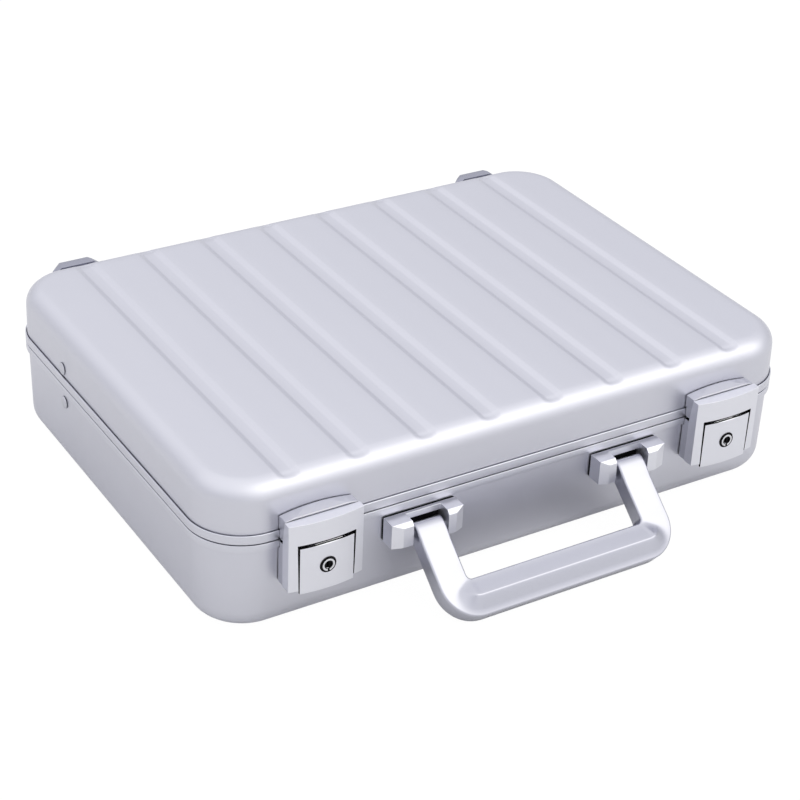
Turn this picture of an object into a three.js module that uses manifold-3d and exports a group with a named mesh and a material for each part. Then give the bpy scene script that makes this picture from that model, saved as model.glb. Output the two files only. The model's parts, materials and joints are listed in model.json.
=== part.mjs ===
// Aluminium attache case: two drawn shells with frame bands, rear hinge blocks, lid stays,
// two key latches and a swinging handle. Millimetres, +Z up, X across the width, front at -Y.
// The origin is the middle of the flat underside of the base.
import * as THREE from 'three';
import { mergeVertices } from 'three/addons/utils/BufferGeometryUtils.js';
import Module from 'manifold-3d';

const wasm = await Module();
wasm.setup();

// ---------------------------------------------------------------- driving dimensions

const WIDTH = 456;
const DEPTH = 332;
const TOP = 109.6;
const PARTING = 68.5;
const CORNER = 39;
const CORNER_STEPS = 8;
const GAP = 0.3;

const WALL = 1.5;
const DRAFT = 0.5;
const LID_INSET = 1.3;
const LID_EDGE = 13;
const BASE_INSET = 1.9;
const BASE_EDGE = 15.5;
const EDGE_STEPS = 5;
const LINING_STEPS = 3;

const BASE_BAND = 5.5;
const LID_BAND = 7.3;
const RIM_Z = PARTING - 2.2;
const LID_RIM_Z = PARTING + 2.2;

const GROOVE_COUNT = 8;
const GROOVE_PITCH = 49.2;
const GROOVE_HALF = 8.6;
const GROOVE_FLOOR_HALF = 3.2;
const GROOVE_DEPTH = 1.8;
const GROOVE_END_Y = 159.5;

const LINING = 1.8;
const LID_LINING_SIDE = 1.1;
const LID_LINING_FACE = TOP - WALL - GROOVE_DEPTH - GAP;

const HINGE_Y = 172;
const HINGE_X = 173.1;
const HINGE_HALF = 18;
const HINGE_BACK = 174;
const HINGE_PIN_R = 1.5;
const KNUCKLE_R = 3.6;

const LATCH_X = 157.5;
const LATCH_HALF = 26.5;
const LATCH_INNER_HALF = 25.7;
const LATCH_BOTTOM = 36.4;
const LATCH_TOP = 85.3;
const HASP_BACK = -171.5;
const HASP_FRONT = -182.3;
const HASP_RADIUS = 118.5;
const FLAP_HALF = 19.1;
const FLAP_TOP = 67.7;
const FLAP_BOTTOM = 33.8;
const FLAP_PIVOT_Y = -177.6;
const FLAP_PIVOT_Z = 65.5;
const KEY_Z = 51.6;

const BRACKET_X = 81.1;
const BRACKET_HALF = 26.8;
const BRACKET_TOP = 60;
const BRACKET_BOTTOM = 42.3;
const BRACKET_FRONT = -178.5;
const HANDLE_PIVOT_Y = -171.6;
const HANDLE_PIVOT_Z = 46.5;
const HANDLE_TILT = 39.8;
const HANDLE_HALF = 90.4;
const HANDLE_INNER = 69.5;
const HANDLE_REACH = 66.5;
const GRIP_START = 41;
const HANDLE_TOP = 8.2;
const HANDLE_UNDER = -5.3;
const GRIP_CREST = 14.3;
const HANDLE_PIN_R = 2.2;

const STAY_Y = 70;
const STAY_BASE_Z = 53.5;
const STAY_LID_Z = 80.8;
const STAY_HALF = 6;
const STAY_THICK = 1.6;
const STAY_PIN_R = 2;

// ---------------------------------------------------------------- materials

function metal(colour, roughness, metalness) {
  return new THREE.MeshStandardMaterial({ color: colour, roughness, metalness });
}

const anodised = metal(0xc9c9d2, 0.42, 0.9);
const frameAluminium = metal(0xcbccd6, 0.35, 0.9);
const castSilver = metal(0xd2d2da, 0.3, 0.9);
const brightSteel = metal(0xbfc1c6, 0.25, 1);
const springSteel = metal(0x8d9096, 0.3, 1);
const blackRubber = metal(0x17171a, 0.8, 0);
const liningCloth = metal(0x2b2c30, 0.95, 0);
const pocketCloth = metal(0x232428, 0.9, 0);

// ---------------------------------------------------------------- solid helpers

function signedVolume(position, index) {
  const a = new THREE.Vector3();
  const b = new THREE.Vector3();
  const c = new THREE.Vector3();
  let volume = 0;
  for (let i = 0; i < index.length; i += 3) {
    a.fromArray(position, index[i] * 3);
    b.fromArray(position, index[i + 1] * 3);
    c.fromArray(position, index[i + 2] * 3);
    volume += a.dot(b.cross(c)) / 6;
  }
  return volume;
}

// A closed body from loops of points: capped at both ends, or joined end to end into a ring.
function loft(loops, ring = false) {
  const count = loops[0].length;
  const position = [];
  const index = [];
  for (const loop of loops) {
    for (const point of loop) {
      position.push(point.x, point.y, point.z);
    }
  }
  const rows = ring ? loops.length : loops.length - 1;
  for (let row = 0; row < rows; row += 1) {
    const next = (row + 1) % loops.length;
    for (let i = 0; i < count; i += 1) {
      const j = (i + 1) % count;
      index.push(row * count + i, row * count + j, next * count + j);
      index.push(row * count + i, next * count + j, next * count + i);
    }
  }
  if (!ring) {
    const last = loops.length - 1;
    const ends = [[0, true], [last, false]];
    for (const [row, first] of ends) {
      const centre = new THREE.Vector3();
      loops[row].forEach((point) => centre.add(point));
      centre.divideScalar(count);
      const middle = position.length / 3;
      position.push(centre.x, centre.y, centre.z);
      for (let i = 0; i < count; i += 1) {
        const j = (i + 1) % count;
        const a = row * count + i;
        const b = row * count + j;
        index.push(...(first ? [middle, b, a] : [middle, a, b]));
      }
    }
  }
  if (signedVolume(position, index) < 0) {
    for (let i = 0; i < index.length; i += 3) {
      [index[i + 1], index[i + 2]] = [index[i + 2], index[i + 1]];
    }
  }
  const geometry = new THREE.BufferGeometry();
  geometry.setAttribute('position', new THREE.Float32BufferAttribute(position, 3));
  geometry.setIndex(index);
  return geometry;
}

// The plan outline of the case, `inset` inside the frame bands' outer face.
function planLoop(inset, z) {
  const radius = CORNER - inset;
  const x = WIDTH / 2 - CORNER;
  const y = DEPTH / 2 - CORNER;
  const centres = [[x, y], [-x, y], [-x, -y], [x, -y]];
  const points = [];
  centres.forEach(([cx, cy], quadrant) => {
    for (let step = 0; step <= CORNER_STEPS; step += 1) {
      const angle = (quadrant + step / CORNER_STEPS) * Math.PI / 2;
      points.push(new THREE.Vector3(
        cx + radius * Math.cos(angle),
        cy + radius * Math.sin(angle),
        z,
      ));
    }
  });
  return points;
}

// Loops of a drawn half, from the middle of its flat face round the edge radius to the rim.
// `face` is the flat face's height, `toward` is +1 when the rim lies above it and -1 below.
function skin(inset, edge, face, rim, toward, steps = EDGE_STEPS) {
  const loops = [];
  for (let step = 0; step <= steps; step += 1) {
    const angle = step / steps * Math.PI / 2;
    const offset = inset + DRAFT + edge * (1 - Math.sin(angle));
    loops.push(planLoop(offset, face + toward * edge * (1 - Math.cos(angle))));
  }
  loops.push(planLoop(inset, rim));
  return loops;
}

function tray(outer, inner) {
  return loft([...outer, ...inner.reverse()]);
}

function ringOf(section) {
  return loft(section.map(([inset, z]) => planLoop(inset, z)), true);
}

function solid(geometry) {
  const bare = geometry.clone();
  bare.deleteAttribute('normal');
  bare.deleteAttribute('uv');
  const merged = mergeVertices(bare, 1e-4);
  return new wasm.Manifold(new wasm.Mesh({
    numProp: 3,
    vertProperties: new Float32Array(merged.attributes.position.array),
    triVerts: new Uint32Array(merged.index.array),
  }));
}

function surface(manifold) {
  const mesh = manifold.getMesh();
  const geometry = new THREE.BufferGeometry();
  geometry.setAttribute('position', new THREE.Float32BufferAttribute(mesh.vertProperties, 3));
  geometry.setIndex(new THREE.Uint32BufferAttribute(mesh.triVerts, 1));
  return geometry;
}

function cut(geometry, ...tools) {
  return surface(tools.reduce((body, tool) => body.subtract(solid(tool)), solid(geometry)));
}

function join(geometry, ...others) {
  return surface(others.reduce((body, other) => body.add(solid(other)), solid(geometry)));
}

function common(geometry, other) {
  return surface(solid(geometry).intersect(solid(other)));
}

function outline(points) {
  return new THREE.Shape(points.map(([a, b]) => new THREE.Vector2(a, b)));
}

// A side profile in (y, z), run along X from x0 to x1.
function alongX(shape, x0, x1, curveSegments = 8) {
  const geometry = new THREE.ExtrudeGeometry(shape, {
    depth: x1 - x0, bevelEnabled: false, curveSegments,
  });
  geometry.applyMatrix4(new THREE.Matrix4().makeBasis(
    new THREE.Vector3(0, 1, 0),
    new THREE.Vector3(0, 0, 1),
    new THREE.Vector3(1, 0, 0),
  ));
  return geometry.translate(x0, 0, 0);
}

// A front elevation in (x, z), run along Y from y0 to y1.
function alongY(shape, y0, y1, curveSegments = 8) {
  const geometry = new THREE.ExtrudeGeometry(shape, {
    depth: y1 - y0, bevelEnabled: false, curveSegments,
  });
  geometry.applyMatrix4(new THREE.Matrix4().makeBasis(
    new THREE.Vector3(1, 0, 0),
    new THREE.Vector3(0, 0, 1),
    new THREE.Vector3(0, -1, 0),
  ));
  return geometry.translate(0, y1, 0);
}

// A plan outline in (x, y), run up from z0 to z1.
function alongZ(shape, z0, z1, curveSegments = 8) {
  const geometry = new THREE.ExtrudeGeometry(shape, {
    depth: z1 - z0, bevelEnabled: false, curveSegments,
  });
  return geometry.translate(0, 0, z0);
}

function box(x0, x1, y0, y1, z0, z1) {
  const geometry = new THREE.BoxGeometry(x1 - x0, y1 - y0, z1 - z0);
  return geometry.translate((x0 + x1) / 2, (y0 + y1) / 2, (z0 + z1) / 2);
}

function rodX(radius, x0, x1, y, z, segments = 20) {
  const geometry = new THREE.CylinderGeometry(radius, radius, x1 - x0, segments);
  geometry.rotateZ(Math.PI / 2);
  return geometry.translate((x0 + x1) / 2, y, z);
}

function rodY(radius, y0, y1, x, z, segments = 24) {
  const geometry = new THREE.CylinderGeometry(radius, radius, y1 - y0, segments);
  return geometry.translate(x, (y0 + y1) / 2, z);
}

// A turned piece: (radius, distance) pairs about the X axis, pointing outward to side +1 or -1.
function turnedX(profile, side, y, z, segments = 16) {
  const points = profile.map(([radius, along]) => new THREE.Vector2(radius, along));
  const geometry = new THREE.LatheGeometry(points, segments);
  geometry.rotateZ(-side * Math.PI / 2);
  return geometry.translate(0, y, z);
}

const attacheCase = new THREE.Group();

function piece(parent, name, geometry, material, position = [0, 0, 0]) {
  const mesh = new THREE.Mesh(geometry, material);
  mesh.name = name;
  mesh.position.set(...position);
  parent.add(mesh);
  return mesh;
}

const SIDES = [['left', -1], ['right', 1]];

// ---------------------------------------------------------------- shells and frames

function rivetHole(side, z) {
  return rodX(2.8, side * 224 - 12, side * 224 + 12, z === STAY_LID_Z ? stayLidY : STAY_Y, z, 16);
}

// The stay arms, the hinge and both rivets make a rhombus, so the arms turn with the lid one to one.
const stayLength = Math.hypot(STAY_Y - HINGE_Y, STAY_BASE_Z - PARTING);
const stayLidY = HINGE_Y - Math.sqrt(stayLength ** 2 - (STAY_LID_Z - PARTING) ** 2);
const stayMiddle = [STAY_Y + stayLidY - HINGE_Y, STAY_BASE_Z + STAY_LID_Z - PARTING];

function baseShell() {
  const outer = skin(BASE_INSET, BASE_EDGE, 0, RIM_Z, 1);
  const inner = skin(BASE_INSET + WALL, BASE_EDGE - WALL, WALL, RIM_Z, 1);
  return cut(tray(outer, inner), rivetHole(-1, STAY_BASE_Z), rivetHole(1, STAY_BASE_Z));
}

function lidSurface(y) {
  const flat = DEPTH / 2 - LID_INSET - DRAFT - LID_EDGE;
  const past = Math.max(Math.abs(y) - flat, 0);
  return TOP - LID_EDGE + Math.sqrt(LID_EDGE ** 2 - past ** 2);
}

// A body that follows the lid's surface, `drop` below it, and fades out over the edge radius.
function pressing(x, drop, deep, half, floorHalf, rise) {
  const fade = [[0, 0.3], [1.2, 0.55], [3.8, 0.82], [7.5, 0.96], [13, 1]];
  const ends = fade.map(([along, size]) => [-GROOVE_END_Y + along, size]);
  const stations = [...ends, ...ends.map(([y, size]) => [-y, size]).reverse()];
  const loops = stations.map(([y, size]) => {
    const z = lidSurface(y) - drop;
    const wide = half * size;
    const flat = floorHalf * size;
    const low = -deep * size;
    const section = [
      [-wide, rise], [-wide, 0], [-flat, low], [flat, low], [wide, 0], [wide, rise],
    ];
    return section.map(([across, up]) => new THREE.Vector3(x + across, y, z + up));
  });
  return loft(loops);
}

// The pressed grooves: a bead inside the lid carries the wall round each groove cut in its face.
function lidShell() {
  const outer = skin(LID_INSET, LID_EDGE, TOP, LID_RIM_Z, -1);
  const inner = skin(LID_INSET + WALL, LID_EDGE - WALL, TOP - WALL, LID_RIM_Z, -1);
  const beads = [];
  const grooves = [];
  for (let i = 0; i < GROOVE_COUNT; i += 1) {
    const x = (i - (GROOVE_COUNT - 1) / 2) * GROOVE_PITCH;
    beads.push(pressing(x, WALL, GROOVE_DEPTH, GROOVE_HALF + 1, GROOVE_FLOOR_HALF + 1, 0.8));
    grooves.push(pressing(x, 0, GROOVE_DEPTH, GROOVE_HALF, GROOVE_FLOOR_HALF, 1));
  }
  const beaded = join(tray(outer, inner), ...beads);
  return cut(beaded, ...grooves, rivetHole(-1, STAY_LID_Z), rivetHole(1, STAY_LID_Z));
}

// Channel section with an outer lip over the shell's rim and an inner leg that stands up as a tongue.
function baseFrame() {
  const top = PARTING - GAP / 2;
  const lip = PARTING - BASE_BAND;
  return ringOf([
    [0.5, lip], [0, lip + 0.5], [0, top - 0.5], [0.5, top],
    [6, top], [6, PARTING + 4.5], [7.6, PARTING + 4.5], [7.6, PARTING - 10], [6, PARTING - 10],
    [6, RIM_Z + GAP], [1.6, RIM_Z + GAP], [1.6, lip],
  ]);
}

function lidFrame() {
  const bottom = PARTING + GAP / 2;
  const lip = PARTING + LID_BAND;
  return ringOf([
    [0.5, bottom], [0, bottom + 0.5], [0, lip - 0.6], [0.5, lip],
    [1, lip], [1, LID_RIM_Z - GAP], [4.5, LID_RIM_Z - GAP],
    [4.5, PARTING + 7.5], [5.5, PARTING + 7.5], [5.5, bottom],
  ]);
}

function baseLining() {
  const start = BASE_INSET + WALL + 0.4;
  const edge = BASE_EDGE - WALL - 0.4;
  const face = WALL + 0.6;
  const rim = RIM_Z - 0.1;
  const outer = skin(start, edge, face, rim, 1, LINING_STEPS);
  const inner = skin(start + LINING, edge - LINING, face + LINING, rim, 1, LINING_STEPS);
  return cut(tray(outer, inner), rivetHole(-1, STAY_BASE_Z), rivetHole(1, STAY_BASE_Z));
}

function lidLining() {
  const start = LID_INSET + WALL + 0.3;
  const edge = LID_EDGE - WALL - 0.4;
  const face = LID_LINING_FACE;
  const rim = LID_RIM_Z + 0.1;
  const thin = start + LID_LINING_SIDE;
  const outer = skin(start, edge, face, rim, -1, LINING_STEPS);
  const inner = skin(thin, edge - LINING, face - LINING, rim, -1, LINING_STEPS);
  return cut(tray(outer, inner), rivetHole(-1, STAY_LID_Z), rivetHole(1, STAY_LID_Z));
}

function roundedRectangle(x0, x1, y0, y1, radius) {
  const shape = new THREE.Shape();
  shape.moveTo(x0 + radius, y0);
  shape.lineTo(x1 - radius, y0);
  shape.absarc(x1 - radius, y0 + radius, radius, -Math.PI / 2, 0);
  shape.lineTo(x1, y1 - radius);
  shape.absarc(x1 - radius, y1 - radius, radius, 0, Math.PI / 2);
  shape.lineTo(x0 + radius, y1);
  shape.absarc(x0 + radius, y1 - radius, radius, Math.PI / 2, Math.PI);
  shape.lineTo(x0, y0 + radius);
  shape.absarc(x0 + radius, y0 + radius, radius, Math.PI, 1.5 * Math.PI);
  return shape;
}

const base = new THREE.Group();
const lid = new THREE.Group();
attacheCase.add(base, lid);

piece(base, 'base_shell', baseShell(), anodised);
piece(base, 'base_frame', baseFrame(), frameAluminium);
piece(base, 'base_lining', baseLining(), liningCloth);
piece(lid, 'lid_shell', lidShell(), anodised);
piece(lid, 'lid_frame', lidFrame(), frameAluminium);
piece(lid, 'lid_lining', lidLining(), liningCloth);

// A flat document pocket under the lid's lining, open toward the front.
const pocketTop = LID_LINING_FACE - LINING - GAP;
const pocketShape = roundedRectangle(-190, 190, -118, 128, 6);
const pocket = cut(
  alongZ(pocketShape, pocketTop - 9, pocketTop, 4),
  box(-184, 184, -130, 122, pocketTop - 7.4, pocketTop - 1.6),
);
piece(lid, 'document_pocket', pocket, pocketCloth);

// ---------------------------------------------------------------- rear hinges

// A block with wide bevels all round its rear face. `near` is its edge at the parting line,
// `far` its outer end; both halves of the hinge use it, one upward and one downward.
function hingeBlock(near, far) {
  const toward = Math.sign(far - near);
  const section = (y, half, flat, start, corner, end) => [
    [-half, start], [half, start], [half, corner], [flat, end], [-flat, end], [-half, corner],
  ].map(([x, z]) => new THREE.Vector3(x, y, z));
  const wide = (y) => section(y, HINGE_HALF, 12.5, near, far - 4 * toward, far);
  return loft([
    wide(160),
    wide(HINGE_BACK - 4.2),
    section(HINGE_BACK, 13.5, 11, near + 4.5 * toward, far - 3.1 * toward, far - 0.5 * toward),
  ]);
}

// Lid half: one middle knuckle. Base half: two outer knuckles. Each clears the other's knuckles.
function lidHinge() {
  const body = hingeBlock(PARTING + 0.5, 105.3);
  const band = box(-20, 20, 150, DEPTH / 2 + GAP, 60, PARTING + LID_BAND + GAP + 0.2);
  const wall = box(-20, 20, 150, DEPTH / 2 - LID_INSET + GAP, 60, 120);
  const clearance = [-1, 1].map((side) => (
    rodX(KNUCKLE_R + 0.4, side * 12 - 6.5, side * 12 + 6.5, HINGE_Y, PARTING)
  ));
  const knuckle = rodX(KNUCKLE_R, -5.2, 5.2, HINGE_Y, PARTING);
  const blank = join(cut(body, band, wall, ...clearance), knuckle);
  return cut(blank, rodX(HINGE_PIN_R + GAP, -20, 20, HINGE_Y, PARTING, 16));
}

function baseHinge() {
  const body = hingeBlock(PARTING - 0.5, 33);
  const band = box(-20, 20, 150, DEPTH / 2 + GAP, PARTING - BASE_BAND - GAP - 0.2, 80);
  const wall = box(-20, 20, 150, DEPTH / 2 - BASE_INSET + GAP, 20, 80);
  const clearance = rodX(KNUCKLE_R + 0.4, -5.6, 5.6, HINGE_Y, PARTING);
  const knuckles = [-1, 1].map((side) => (
    rodX(KNUCKLE_R, side * 11.7 - 6, side * 11.7 + 6, HINGE_Y, PARTING)
  ));
  const blank = join(cut(body, band, wall, clearance), ...knuckles);
  return cut(blank, rodX(HINGE_PIN_R + GAP, -20, 20, HINGE_Y, PARTING, 16));
}

for (const [label, side] of SIDES) {
  const place = [side * HINGE_X, 0, 0];
  piece(lid, `hinge_lid_${label}`, lidHinge(), castSilver, place);
  piece(base, `hinge_base_${label}`, baseHinge(), castSilver, place);
  const pin = rodX(HINGE_PIN_R, -17.9, 17.9, HINGE_Y, PARTING, 16);
  piece(base, `hinge_pin_${label}`, pin, brightSteel, place);
}

// ---------------------------------------------------------------- latches

// Plan outline between the back plane and a front face bowed outward about a vertical axis.
function bowedPlan(half, back, front) {
  const radius = HASP_RADIUS + (HASP_FRONT - front);
  const reach = Math.asin(half / radius);
  const shape = new THREE.Shape();
  shape.moveTo(half, back);
  shape.lineTo(-half, back);
  shape.absarc(0, front + radius, radius, -Math.PI / 2 - reach, -Math.PI / 2 + reach, false);
  return shape;
}

function latchHousing() {
  const profile = outline([
    [-164.6, LATCH_BOTTOM], [-164.6, 62.6], [-166.3, 62.6], [-166.3, 67.6],
    [-171.2, 67.6], [-171.2, LATCH_BOTTOM],
  ].reverse());
  const block = alongX(profile, -LATCH_INNER_HALF, LATCH_INNER_HALF);
  const pocketed = cut(
    block,
    box(-16, 16, -172, -167.8, 40, 62),
    box(-8, 8, -172, -169.6, 61, 70),
  );
  const lugs = [-1, 1].map((side) => {
    const arm = box(side * 14.2 - 1.5, side * 14.2 + 1.5, FLAP_PIVOT_Y, -170.5,
      FLAP_PIVOT_Z - 1.9, FLAP_PIVOT_Z + 1.9);
    const eye = rodX(1.9, side * 14.2 - 1.5, side * 14.2 + 1.5, FLAP_PIVOT_Y, FLAP_PIVOT_Z, 16);
    return join(arm, eye);
  });
  return cut(join(pocketed, ...lugs), rodX(1.3, -20, 20, FLAP_PIVOT_Y, FLAP_PIVOT_Z, 12));
}

function latchKeeper() {
  const profile = outline([
    [-165, 88.2], [-173.6, 86.6], [-171.2, PARTING + 1.1], [-166.3, PARTING + 1.1],
    [-166.3, 76.2], [-165, 76.2],
  ]);
  const arch = new THREE.Shape();
  const rise = 2.7;
  const radius = (LATCH_HALF ** 2 + rise ** 2) / (2 * rise);
  const reach = Math.asin(LATCH_HALF / radius);
  arch.moveTo(-LATCH_HALF, 60);
  arch.lineTo(LATCH_HALF, 60);
  arch.absarc(0, LATCH_TOP + rise - radius, radius, Math.PI / 2 - reach, Math.PI / 2 + reach, false);
  const block = common(alongX(profile, -LATCH_INNER_HALF, LATCH_INNER_HALF), alongY(arch, -175, -160, 10));
  return cut(block, box(-8, 8, -172, -168.3, 60, 77));
}

function latchHasp() {
  const plate = alongZ(bowedPlan(LATCH_HALF, HASP_BACK, HASP_FRONT), LATCH_BOTTOM, LATCH_TOP, 12);
  const opening = alongY(outline([
    [-FLAP_HALF - 0.7, 20], [FLAP_HALF + 0.7, 20], [FLAP_HALF + 0.7, LATCH_BOTTOM],
    [FLAP_HALF + 1.5, 70.2], [-FLAP_HALF - 1.5, 70.2], [-FLAP_HALF - 0.7, LATCH_BOTTOM],
  ]), -190, -160);
  const cavity = alongZ(bowedPlan(LATCH_HALF - 3, HASP_BACK + 1, HASP_FRONT + 2), 69, LATCH_TOP - 2, 12);
  const ledge = box(-7, 7, HASP_FRONT + 1, HASP_FRONT + 4.3, 71.9, 73.2);
  const behind = alongX(outline([
    [-160, 68.5], [HASP_BACK, 68.5], [HASP_BACK - 2.4, 86], [-160, 86],
  ]), -30, 30);
  return join(cut(plate, opening, cavity, behind), ledge);
}

function latchFlap() {
  const outer = alongZ(bowedPlan(FLAP_HALF, -176, HASP_FRONT), FLAP_BOTTOM, FLAP_TOP, 10);
  const hollow = alongZ(bowedPlan(FLAP_HALF + 2, -170, HASP_FRONT + 1.5), 20, 80, 12);
  const bevel = alongX(outline([
    [HASP_FRONT - 1, FLAP_TOP - 1.4], [HASP_FRONT + 1.4, FLAP_TOP + 1], [HASP_FRONT - 1, FLAP_TOP + 1],
  ].reverse()), -30, 30);
  const cheeks = [-1, 1].map((side) => {
    const arm = alongX(outline([
      [-180, 36], [-180, 67.4], [FLAP_PIVOT_Y, 67.4], [-175.7, 65.5], [-175.7, 60], [-177.5, 36],
    ].reverse()), side * 18.2 - 0.9, side * 18.2 + 0.9);
    return arm;
  });
  const blank = join(cut(outer, hollow, bevel), ...cheeks);
  return cut(blank,
    rodX(1.3, -30, 30, FLAP_PIVOT_Y, FLAP_PIVOT_Z, 12),
    rodY(5.9, -190, -170, 0, KEY_Z));
}

function latchHook() {
  return alongX(outline([
    [-180.2, 59.3], [-174.6, 59.3], [-174.6, 75.4], [-179.3, 75.4], [-179.3, 74], [-176.1, 74],
    [-176.1, 60.8], [-178.8, 60.8], [-178.8, 64], [-180.2, 64],
  ]), -6, 6);
}

// The barrel passes through the flap and its black seal; a flange behind the flap holds it.
function lockSeal() {
  return cut(
    rodY(5.6, HASP_FRONT - 0.5, -180.6, 0, KEY_Z, 24),
    rodY(4.7, -190, -170, 0, KEY_Z, 24),
  );
}

function lockBarrel() {
  const body = join(
    rodY(4.4, HASP_FRONT - 0.9, -173.5, 0, KEY_Z, 24),
    rodY(6.6, -180.2, -178.9, 0, KEY_Z, 24),
  );
  return cut(body,
    rodY(3.1, -190, -170, 0, KEY_Z),
    box(-0.7, 0.7, -190, HASP_FRONT + 0.8, KEY_Z - 5, KEY_Z - 2));
}

function keyPlug() {
  const plug = join(
    rodY(2.8, HASP_FRONT + 0.5, -173.8, 0, KEY_Z),
    rodY(2, -174, -170.6, 0, KEY_Z, 16),
  );
  return cut(plug, box(-0.6, 0.6, -190, HASP_FRONT + 2.9, KEY_Z - 2.2, KEY_Z + 1.6));
}

function lockCam() {
  const shape = outline([[-2.8, -3], [2.8, -3], [2.2, 9.3], [-2.2, 9.3]]);
  const plate = alongY(shape, -172.9, -171.7).translate(0, 0, KEY_Z);
  return cut(plate, rodY(2.3, -180, -165, 0, KEY_Z, 16));
}

// The same body reflected in X, its faces turned round again to point outward.
function reflected(geometry) {
  const result = geometry.index ? geometry.clone() : mergeVertices(geometry, 1e-4);
  result.scale(-1, 1, 1);
  const index = result.index.array;
  for (let i = 0; i < index.length; i += 3) {
    [index[i + 1], index[i + 2]] = [index[i + 2], index[i + 1]];
  }
  return result;
}

// Torsion spring round the flap's pin: one leg on the housing, the other behind the flap.
class SpringPath extends THREE.Curve {
  getPoint(t, target = new THREE.Vector3()) {
    const radius = 1.75;
    const turns = 3.25;
    const legs = 0.12;
    const coil = THREE.MathUtils.clamp((t - legs) / (1 - 2 * legs), 0, 1);
    const angle = Math.PI * (0.5 + 2 * turns * coil);
    const x = 7.6 + 4.2 * coil;
    target.set(x, radius * Math.cos(angle), radius * Math.sin(angle));
    if (t < legs) {
      target.y += (legs - t) / legs * 3.6;
    }
    if (t > 1 - legs) {
      target.z -= (t - 1 + legs) / legs * 7;
    }
    return target;
  }
}

function latchSpring() {
  const wire = new THREE.Shape();
  wire.absarc(0, 0, 0.35, 0, 2 * Math.PI);
  const geometry = new THREE.ExtrudeGeometry(wire, {
    steps: 38, extrudePath: new SpringPath(), curveSegments: 3,
  });
  return geometry.translate(0, FLAP_PIVOT_Y, FLAP_PIVOT_Z);
}

for (const [label, side] of SIDES) {
  const place = [side * LATCH_X, 0, 0];
  piece(base, `latch_housing_${label}`, latchHousing(), castSilver, place);
  const pin = rodX(1, -18.9, 18.9, FLAP_PIVOT_Y, FLAP_PIVOT_Z, 12);
  piece(base, `latch_pin_${label}`, pin, brightSteel, place);
  const spring = side > 0 ? latchSpring() : reflected(latchSpring());
  piece(base, `latch_spring_${label}`, spring, springSteel, place);
  piece(lid, `latch_keeper_${label}`, latchKeeper(), castSilver, place);
  piece(lid, `latch_hasp_${label}`, latchHasp(), castSilver, place);
  piece(base, `latch_flap_${label}`, latchFlap(), castSilver, place);
  piece(base, `latch_hook_${label}`, latchHook(), brightSteel, place);
  piece(base, `lock_seal_${label}`, lockSeal(), blackRubber, place);
  piece(base, `lock_barrel_${label}`, lockBarrel(), brightSteel, place);
  piece(base, `key_plug_${label}`, keyPlug(), springSteel, place);
  piece(base, `lock_cam_${label}`, lockCam(), brightSteel, place);
}

// ---------------------------------------------------------------- handle

function handleGasket(side) {
  const x = side * BRACKET_X;
  const half = BRACKET_HALF + 0.35;
  const shape = roundedRectangle(x - half, x + half, BRACKET_BOTTOM - 0.3, BRACKET_TOP + 0.35, 2.4);
  return alongY(shape, -164.8, -164.35, 3);
}

// Two ears joined by a web along the top. The outer ear is the wider one.
function handleBracket(side) {
  const back = -165.1;
  const outer = 11.7;
  const inner = -14.5;
  const plan = [
    [-BRACKET_HALF, back], [-BRACKET_HALF, BRACKET_FRONT + 2.5], [-20.5, BRACKET_FRONT],
    [inner, BRACKET_FRONT], [inner, -167.6], [outer, -167.6], [outer, BRACKET_FRONT],
    [19.3, BRACKET_FRONT], [BRACKET_HALF, BRACKET_FRONT + 2.5], [BRACKET_HALF, back],
  ].map(([x, y]) => [x * side, y]);
  const ears = alongZ(outline(plan), BRACKET_BOTTOM, BRACKET_TOP);
  const profile = outline([
    [back + 1, BRACKET_BOTTOM], [back + 1, BRACKET_TOP], [BRACKET_FRONT + 2.4, BRACKET_TOP],
    [BRACKET_FRONT, BRACKET_TOP - 2.8], [BRACKET_FRONT, BRACKET_BOTTOM],
  ]);
  const shaped = common(ears, alongX(profile, -40, 40));
  const low = Math.min(inner * side, outer * side);
  const high = Math.max(inner * side, outer * side);
  return cut(shaped,
    box(low, high, -170, -160, 30, 55.5),
    rodX(HANDLE_PIN_R + GAP, 1.3 - BRACKET_HALF, BRACKET_HALF - 1.3, HANDLE_PIVOT_Y, HANDLE_PIVOT_Z, 20));
}

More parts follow.
